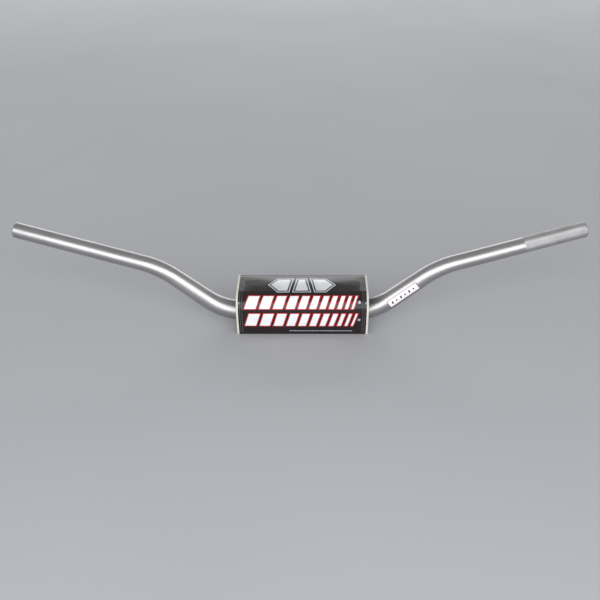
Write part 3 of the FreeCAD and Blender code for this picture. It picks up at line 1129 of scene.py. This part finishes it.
def build_floor():
    half, below = 9.0, 0.02 * MM
    corners = ((-half, -half), (half, -half), (half, half), (-half, half))
    verts = [Vector((x, y, BASE_Z - below)) for x, y in corners]
    pale = plain_finish("pale_floor", (0.44, 0.445, 0.46), (0.46, 0.465, 0.48), 0.8, (0.52, 0.58), [],
                        Specular_IOR_Level=0.22)
    floor = mesh_object("studio_floor", verts, [(0, 1, 2, 3)], [pale])


def area_light(name, place, target, size, power, colour=(1.0, 1.0, 1.0)):
    light = bpy.data.lights.new(name, "AREA")
    light.shape = "RECTANGLE"
    light.size, light.size_y = size
    light.energy = power
    light.color = colour
    lamp = linked(name, light)
    lamp.location = place
    lamp.rotation_euler = (Vector(target) - Vector(place)).to_track_quat("-Z", "Y").to_euler()


def build_light():
    world = bpy.data.worlds.new("studio")
    world.use_nodes = True
    background = world.node_tree.nodes["Background"]
    background.inputs["Color"].default_value = (0.96, 0.97, 1.0, 1.0)
    background.inputs["Strength"].default_value = 0.40
    bpy.context.scene.world = world
    area_light("front_softbox", (0.0, -1.68, 0.80), (0.0, 0.0, 0.03), (3.8, 1.60), 53, (0.95, 0.975, 1.0))
    area_light("rear_low_strip", (0.0, 3.0, 0.53), (0.0, 0.0, 0.05), (5.2, 0.66), 15)
    area_light("rear_high_strip", (0.0, 3.0, 1.20), (0.0, 0.0, 0.05), (5.2, 0.68), 25)
    scene = bpy.context.scene
    scene.view_settings.view_transform = "Standard"
    scene.view_settings.look = "None"


def build_camera():
    """The studio view: about 1.3 m away and 31 degrees above the bar."""
    data = bpy.data.cameras.new("studio_camera")
    data.sensor_width = 36.0
    data.lens = 55.6
    data.shift_x, data.shift_y = -0.00083, 0.00083
    data.clip_start, data.clip_end = 0.01, 50.0
    camera = linked("studio_camera", data)
    camera.location = (0.0167, -1.1201, 0.6776)
    camera.rotation_euler = Euler((math.radians(59.41), math.radians(0.33), math.radians(0.56)), "XYZ")
    bpy.context.scene.camera = camera


def build_all():
    # Aluminium, bead-blasted and anodised, with faint drawing lines; brighter and rougher where it is knurled
    grains = [(0.35 * MM, 2.0, None, 0.012 * MM), (1.2 * MM, 3.0, (0.03, 1.0, 1.0), 0.010 * MM)]
    satin = plain_finish("satin_titanium_anodised", (0.43, 0.42, 0.42), (0.49, 0.475, 0.47), 60 * MM,
                         (0.33, 0.39), grains, Metallic=1.0)
    knurled = plain_finish("knurled_titanium_anodised", (0.46, 0.445, 0.445), (0.53, 0.515, 0.51), 14 * MM,
                           (0.38, 0.48), [(0.25 * MM, 2.0, None, 0.02 * MM)], Metallic=1.0)
    # Glossy coated fabric with soft dents and a fine grain
    grains = [(16 * MM, 1.0, None, 0.06 * MM), (0.9 * MM, 2.0, None, 0.014 * MM)]
    vinyl = plain_finish("gloss_black_vinyl", (0.013, 0.009, 0.009), (0.020, 0.013, 0.013), 35 * MM,
                         (0.15, 0.22), grains, Specular_IOR_Level=0.36)
    foam = foam_finish()
    cream = woven_finish("cream_binding_tape", (0.60, 0.57, 0.48), (0.82, 0.79, 0.70), 0.7 * MM)
    strap = woven_finish("black_webbing", (0.012, 0.012, 0.013), (0.035, 0.035, 0.038), 1.2 * MM)
    pile = woven_finish("black_loop_pile", (0.015, 0.015, 0.016), (0.04, 0.04, 0.043), 0.5 * MM, sheen=0.6)
    nylon = plain_finish("black_nylon_hooks", (0.022, 0.022, 0.024), (0.04, 0.04, 0.042), 3 * MM,
                         (0.4, 0.55), [(0.3 * MM, 2.0, None, 0.03 * MM)])
    grey_thread = thread_finish("grey_thread", (0.12, 0.12, 0.13), (0.24, 0.24, 0.26))
    black_thread = thread_finish("black_thread", (0.02, 0.02, 0.022), (0.05, 0.05, 0.054))
    # Pale thread of the edge tacks: it paints small highlights on the hem's edges.
    glint_thread = thread_finish("glint_thread", (0.62, 0.60, 0.56), (0.80, 0.78, 0.74))
    white = ink_finish("white_ink", (0.84, 0.84, 0.85), (0.90, 0.90, 0.91), (0.34, 0.44))
    red = ink_finish("red_ink", (0.50, 0.010, 0.014), (0.64, 0.016, 0.020))
    silver = ink_finish("silver_ink", (0.66, 0.67, 0.69), (0.78, 0.79, 0.81), (0.26, 0.38), 0.25)
    grey = ink_finish("grey_ink", (0.36, 0.37, 0.39), (0.46, 0.47, 0.49))
    black = ink_finish("black_ink", (0.010, 0.009, 0.009), (0.018, 0.016, 0.016))
    dark_red = ink_finish("dark_red_film", (0.28, 0.018, 0.026), (0.38, 0.030, 0.036))
    build_tube(satin, knurled)
    build_decal(white, dark_red, black)
    build_cover(vinyl)
    build_foam(foam)
    for side_name, side in (("left", 1), ("right", -1)):
        build_binding("edge_binding_" + side_name, side, cream)
        build_edge_stitching(side_name, side, grey_thread)
    # Pale tacks that paint small highlights on both side edges.
    build_glint_tacks(glint_thread)
    build_prints(white, red, silver, grey, black)
    for name in STRAPS:
        build_strap(name, strap, black_thread)
        build_hooks(name, nylon)
        build_loops(name, pile)


build_camera()
build_light()
build_floor()
build_all()
